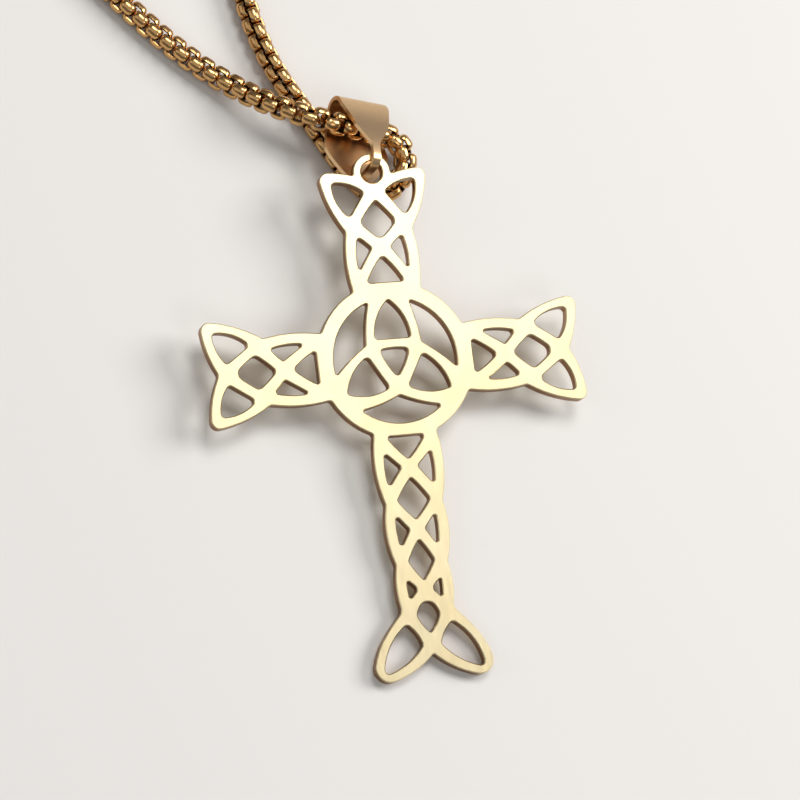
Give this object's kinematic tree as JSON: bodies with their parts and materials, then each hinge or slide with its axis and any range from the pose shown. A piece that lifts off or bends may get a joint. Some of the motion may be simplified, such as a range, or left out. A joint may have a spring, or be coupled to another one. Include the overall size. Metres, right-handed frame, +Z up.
{
  "type": "cross pendant necklace",
  "caption": "Gold necklace with a flat pierced Celtic knotwork cross pendant, a folded bail, a round box chain and a barrel clasp, lying face up.",
  "frame": {"origin": "on the surface that the necklace lies on, under the middle of its bounding box", "axes": "+Z up from the surface, +Y from the foot of the cross towards the clasp along the pendant's axis, +X to the right seen from above"},
  "size_m": [0.105, 0.3146, 0.0076],
  "materials": {
    "plate_gold": "satin",
    "bail_gold": "polished",
    "chain_gold": "polished",
    "clasp_gold": "polished"
  },
  "bodies": {
    "root": {"cross_plate": "plate_gold", "bail": "bail_gold", "chain": "chain_gold", "clasp": "clasp_gold"}
  },
  "joints": []
}
